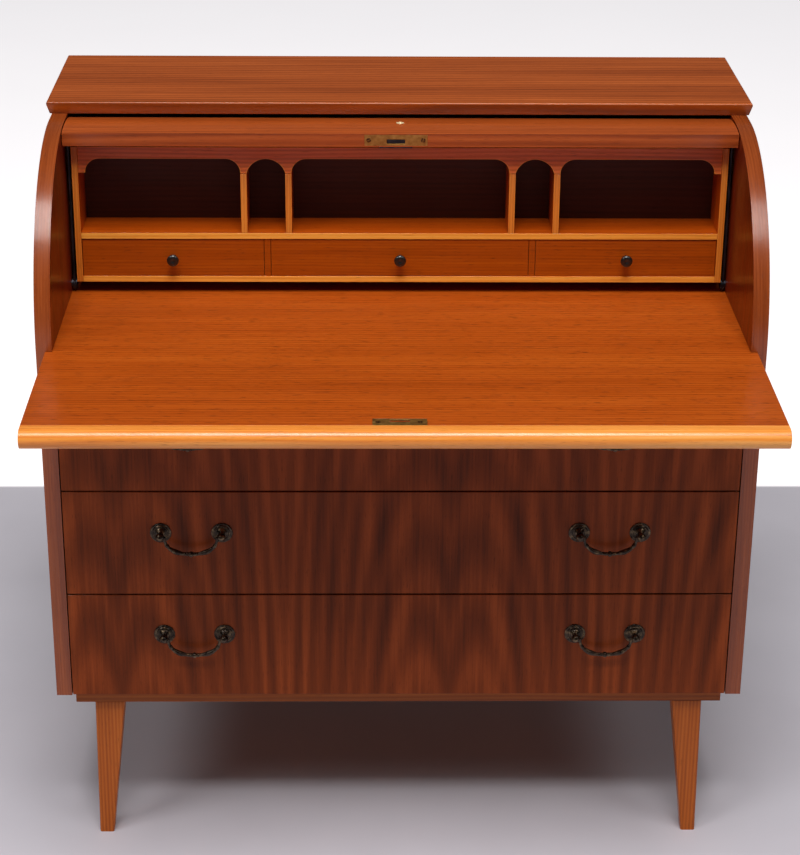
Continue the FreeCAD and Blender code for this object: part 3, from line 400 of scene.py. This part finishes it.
# The three small drawers and the two dividers between them: solid teak fronts with fine level grain, thin
# boxes of pale beech glued behind them, and turned knobs in black lacquer.
beech_face = timber("drawer_beech", Z, X, [(150, 106, 66), (186, 140, 94), (206, 164, 118)], heart=0.2,
                    rings=0.007, rise=0.05, figure=0.2, streaks=0.4, pores=0.25, gloss=0.5, coat=0.0)
small_face = timber("small_front_teak", Z, X, [(124, 47, 1), (160, 68, 2), (185, 90, 5)], heart=0.16,
                    rings=0.0045, rise=0.05, figure=0.15, streaks=0.45, fibre=0.6, pores=0.55)
small_edge = timber("small_front_edge", (0, 0.7, 0.7), X, [(160, 80, 28), (196, 108, 46), (214, 130, 64)],
                    heart=0.3, rings=0.004, rise=0.03, figure=0.2, pores=0.2, wrapped=True)
eased("unit_dividers", small_face, 0.0005)
lacquer = Finish("black_lacquer", Coat_Weight=0.5, Coat_Roughness=0.12)
speck = lacquer.noise(lacquer.reach(X) * 700, lacquer.reach(Y) * 700, lacquer.reach(Z) * 700, detail=4)
lacquer_face = lacquer.wear(lacquer.ramp(speck, [(0.3, tint(10, 9, 9)), (0.7, tint(26, 23, 22))]),
                            (speck - 0.5) * 0.4 + 0.32, speck, 0.00004)


def turned_piece(name, profile, foot, finish):
    """A turned piece that stands out to the front: each profile pair is (distance out, radius) in
    millimetres, and the point at angle t is foot + radius (cos t, 0, sin t) - distance out along y."""
    steps = 48
    out, radius = np.array(profile, float).T / 1000
    t = np.linspace(0, 2 * math.pi, steps, endpoint=False)
    points = np.empty((len(out), steps, 3))
    points[..., 0] = foot[0] + radius[:, None] * np.cos(t)
    points[..., 1] = foot[1] - out[:, None]
    points[..., 2] = foot[2] + radius[:, None] * np.sin(t)
    return grid_piece(name, points, finish, around=True)


knob_profile = [(-1, 0.3), (-1, 3.2), (1.2, 4.6), (2.2, 4.4), (5, 3.4), (8, 3.5), (10.4, 5.4), (11.8, 7.4),
                (13.0, 8.4), (14.2, 8.7), (15.4, 8.5), (16.5, 7.6), (17.3, 6.0), (17.6, 4.2), (17.5, 2.6),
                (17.1, 2.2), (17.1, 0.2)]
for name in ("small_left", "small_middle", "small_right"):
    eased(name + "_front", small_face, 0.0006, small_edge, lambda n: np.abs(n[:, 1]) < 0.5)
    eased(name + "_box", beech_face, 0.0004)
    low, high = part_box(name + "_knob")
    foot = ((low.x + high.x) / 2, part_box(name + "_front")[0].y, (low.z + high.z) / 2)
    settle(turned_piece(name + "_turned_knob", knob_profile, foot, lacquer_face), name + "_knob")

# The three deep drawers: fronts veneered in upright matched leaves of dark walnut, cut from one sheet so
# that the figure runs on from front to front, over pale beech boxes.
front_face = timber("front_walnut", X, Z, [(74, 31, 12), (126, 55, 20), (168, 78, 33)], leaf=0.235,
                    start=-0.4, heart=0.11, rings=0.02, rise=0.15, figure=0.2, streaks=0.6, fibre=0.45,
                    pores=0.35, gloss=0.38, coat=0.03, shine=0.1)
front_edge = timber("front_edge", X, (0, 0.6, 0.8), [(74, 32, 14), (118, 54, 24), (150, 74, 36)], heart=0.3,
                    rings=0.005, figure=0.2, wrapped=True)
for row in ("lower", "middle", "upper"):
    eased(f"drawer_{row}_front", front_face, 0.0009, front_edge, lambda n: np.abs(n[:, 1]) < 0.5)
    eased(f"drawer_{row}_box", beech_face, 0.0005)

# The drawer pulls: antique dark brass. Each bail hangs between two ball-ended posts that stand on ringed
# round plates; its bar swells into a leaf at both bends and carries a flower of beads in the middle.
antique = Finish("antique_brass", Metallic=0.9, Coat_Weight=0.15)
grime = antique.noise(antique.reach(X) * 150, antique.reach(Y) * 150, antique.reach(Z) * 150, detail=4)
antique_face = antique.wear(antique.ramp(grime, [(0.32, tint(40, 32, 27)), (0.52, tint(66, 54, 43)),
                                                 (0.72, tint(126, 104, 76))]),
                            (grime - 0.5) * 0.3 + 0.31, grime, 0.00005)
ball_out, ball_radius = 15, 6
ball_turn = np.linspace(-1.15, 1.2, 12)
post_profile = ([(-1, 0.3), (-1, 14.6), (0.6, 15.0), (1.3, 14.7), (1.8, 13.8), (1.5, 12.9), (1.3, 12.4),
                 (1.7, 11.7), (2.6, 11.2), (3.0, 10.4), (2.7, 9.6), (2.1, 9.1), (2.2, 8.3), (3.0, 7.4),
                 (4.2, 6.3), (5.0, 5.2), (5.6, 4.3), (6.8, 3.7), (7.8, 3.6), (8.3, 4.5), (8.9, 4.7),
                 (9.4, 4.2)]
                + [(ball_out + ball_radius * math.sin(t), ball_radius * math.cos(t)) for t in ball_turn]
                + [(20.9, 1.6), (21.2, 0.9), (21.3, 0.2)])
# The bail's line hangs as a flattened half ring, half_bail to each side and bail_drop down, in millimetres.
# Each bead is (place along x, height, half length), and the two side ones of a kind mirror each other.
half_bail, bail_drop, post_x = 36.8, 26.3, 0.04275
swing = np.linspace(0, math.pi, 221)
way_x, way_z = np.cos(swing), np.sin(swing)
line_x = half_bail * np.sign(way_x) * np.abs(way_x) ** 0.9
line_z = -bail_drop * way_z ** 0.86
leaf_swell = np.exp(-((np.abs(line_x) - 21) / 8.5) ** 2)
beads = sum(size * np.exp(-((line_x - at) / width) ** 4)
            for at, size, width in ((0, 2.0, 2.7), (5.2, 1.0, 1.2), (-5.2, 1.0, 1.2), (8.4, 0.6, 0.9),
                                    (-8.4, 0.6, 0.9), (33.2, 0.7, 1.3), (-33.2, 0.7, 1.3)))
bar_radius = 2.0 + 1.7 * leaf_swell + beads
line = np.stack([line_x, 0 * line_x, line_z], 1)
ahead = np.gradient(line, axis=0)
ahead /= np.linalg.norm(ahead, axis=1, keepdims=True)
front = np.array([0.0, -1.0, 0.0])
beside = np.cross(ahead, front)
t = np.linspace(0, 2 * math.pi, 28, endpoint=False)
ring = bar_radius[:, None] * (1 + 0.04 * leaf_swell[:, None] * np.cos(7 * t))
bail_points = (line[:, None] + (ring * np.cos(t))[..., None] * beside[:, None]
               + (ring * np.sin(t))[..., None] * front) / 1000
for row in ("lower", "middle", "upper"):
    face_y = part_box(f"drawer_{row}_front")[0].y
    pull_z = sum(v.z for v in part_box(f"drawer_{row}_posts")) / 2
    posts = []
    for side in ("left", "right"):
        middle_x = sum(v.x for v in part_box(f"bail_{row}_{side}")) / 2
        posts += [turned_piece(f"post_{row}_{side}_{number}", post_profile, (middle_x + x, face_y, pull_z),
                               antique_face) for number, x in ((1, -post_x), (2, post_x))]
        hung = bail_points + (middle_x, face_y - ball_out / 1000, pull_z)
        settle(grid_piece(f"bail_bar_{row}_{side}", hung, antique_face, around=True), f"bail_{row}_{side}")
    for post in posts:
        settle(post, f"drawer_{row}_posts")

# The leg frame and legs: a low frame of honey-stained beech under the carcass, and four square legs that
# taper to the floor, glued under it with corner blocks inside.
frame_face = timber("frame_beech", (0, 0.7, 0.7), X, [(112, 50, 12), (152, 74, 18), (178, 94, 28)], heart=0.3,
                    rings=0.005, rise=0.04, figure=0.25, streaks=0.5, pores=0.2, shine=0.12, wrapped=True)
leg_face = timber("leg_beech", X, Z, [(134, 62, 18), (180, 90, 27), (202, 112, 43)], heart=0.6, rings=0.005,
                  rise=0.03, figure=0.25, streaks=0.5, pores=0.25, gloss=0.34, coat=0.2, shine=0.12)
eased("leg_frame", frame_face, 0.0008)
for name in ("leg_front_left", "leg_front_right", "leg_rear_left", "leg_rear_right"):
    eased(name, leg_face, 0.0006)

# The unseen structure: beech rails, runners, blocks and spacers, and the plywood deck, bottom and back, sawn
# and only sealed with a thin matt coat.
rough_beech = timber("inner_beech", X, Y, [(150, 106, 66), (184, 138, 92), (204, 162, 116)], heart=0.2,
                     rise=0.05, figure=0.2, streaks=0.4, pores=0.3, gloss=0.55, coat=0.0)
for name in ("drawer_rails", "drawer_runners", "corner_blocks", "unit_spacers"):
    eased(name, rough_beech, 0.0005)
deck_face = timber("deck_ply", Y, X, [(112, 56, 26), (144, 78, 38), (166, 98, 54)], heart=0.3, rise=0.04,
                   figure=0.25, streaks=0.5, gloss=0.5, coat=0.0)
ply_face = timber("back_ply", X, Z, [(140, 92, 52), (172, 120, 74), (190, 142, 94)], leaf=0.3, start=-0.5,
                  heart=0.14, rings=0.012, rise=0.15, figure=0.35, streaks=0.6, gloss=0.55, coat=0.0)
eased("deck_board", deck_face, 0.0004)
eased("bottom_board", deck_face, 0.0004)
eased("back_panel", ply_face, 0.0004)

# The ironwork: dark blued steel arms that carry the roll on pivot pins, their screws, and the lock's case
# and bolt, finished with fine rubbed lines.
steel = Finish("blued_steel", Metallic=0.9)
rubs = steel.noise(steel.reach(X) * 900, steel.reach(Y) * 40, steel.reach(Z) * 900, detail=3)
stain = steel.noise(steel.reach(X) * 50, steel.reach(Y) * 50, steel.reach(Z) * 50, detail=4)
steel_face = steel.wear(steel.ramp(stain, [(0.3, tint(36, 38, 44)), (0.7, tint(70, 70, 76))]),
                        (rubs - 0.5) * 0.2 + (stain - 0.5) * 0.2 + 0.42, rubs, 0.00003)
for name in ("arm_left", "arm_right", "arm_screws", "pivot_pins", "lock_case", "lock_bolt"):
    eased(name, steel_face, 0.0002)

# The studio: a pale grey floor that turns off-white and glows a little behind the desk, soft panels overhead
# and at both front corners, and a long lens looking down on the desk from standing height.
floor_mesh = bpy.data.meshes.new("floor")
floor_mesh.from_pydata([(-30, -12, 0), (30, -12, 0), (30, 40, 0), (-30, 40, 0)], [], [(0, 1, 2, 3)])
floor = bpy.data.objects.new("floor", floor_mesh)
bpy.context.scene.collection.objects.link(floor)
paving = Finish("studio_floor")
cloud = paving.noise(paving.reach(X) * 3, paving.reach(Y) * 3, 0.0, detail=4)
beyond = paving.reach(Y).step(1.085, 1.1)
paving.shader.inputs["Emission Strength"].default_value = 1.0
paving.tree.links.new(paving.blend(beyond, (0.0, 0.0, 0.0, 1), (0.54, 0.53, 0.55, 1)),
                      paving.shader.inputs["Emission Color"])
grey = paving.ramp(cloud, [(0.3, tint(204, 201, 210)), (0.7, tint(212, 209, 218))])
floor_mesh.materials.append(paving.wear(paving.blend(beyond, grey, (*tint(250, 247, 247), 1)),
                                        (cloud - 0.5) * 0.2 + 0.6, cloud, 0.0002))


def soft_panel(name, place, target, width, watts):
    """A square soft light of that width, turned so that it faces the target."""
    lamp = bpy.data.lights.new(name, "AREA")
    lamp.shape, lamp.size, lamp.energy = "SQUARE", width, watts
    lamp.color = (1.0, 0.985, 0.97)
    light = bpy.data.objects.new(name, lamp)
    light.location = place
    light.rotation_euler = (Vector(target) - Vector(place)).to_track_quat("-Z", "Y").to_euler()
    bpy.context.scene.collection.objects.link(light)


soft_panel("overhead", (0.0, -2.8, 6.8), (0.0, 0.1, 0.6), 3.0, 450)
soft_panel("left_front", (-4.4, -3.2, 6.0), (0.0, 0.0, 0.6), 2.6, 120)
soft_panel("right_front", (4.4, -3.2, 6.0), (0.0, 0.0, 0.6), 2.6, 60)
world = bpy.data.worlds.new("studio")
world.use_nodes = True
world.node_tree.nodes["Background"].inputs["Color"].default_value = (0.93, 0.95, 1.0, 1)
world.node_tree.nodes["Background"].inputs["Strength"].default_value = 0.05
bpy.context.scene.world = world
bpy.context.scene.view_settings.view_transform = "Standard"

yaw, pitch, roll = 0.0197, 0.4146, -0.0082
ahead = Vector((math.sin(yaw) * math.cos(pitch), math.cos(yaw) * math.cos(pitch), -math.sin(pitch)))
right = Vector((math.cos(yaw), -math.sin(yaw), 0))
down = ahead.cross(right)
level = right * math.cos(roll) + down * math.sin(roll)
lens = bpy.data.cameras.new("standing_view")
lens.lens, lens.sensor_width, lens.clip_end = 94.49, 36, 100
eye = (-0.0579, -2.95475, 1.9095)
camera = bpy.data.objects.new("standing_view", lens)
axes = Matrix((level, level.cross(ahead), -ahead)).transposed().to_4x4()
camera.matrix_world = Matrix.Translation(eye) @ axes
bpy.context.scene.collection.objects.link(camera)
bpy.context.scene.camera = camera
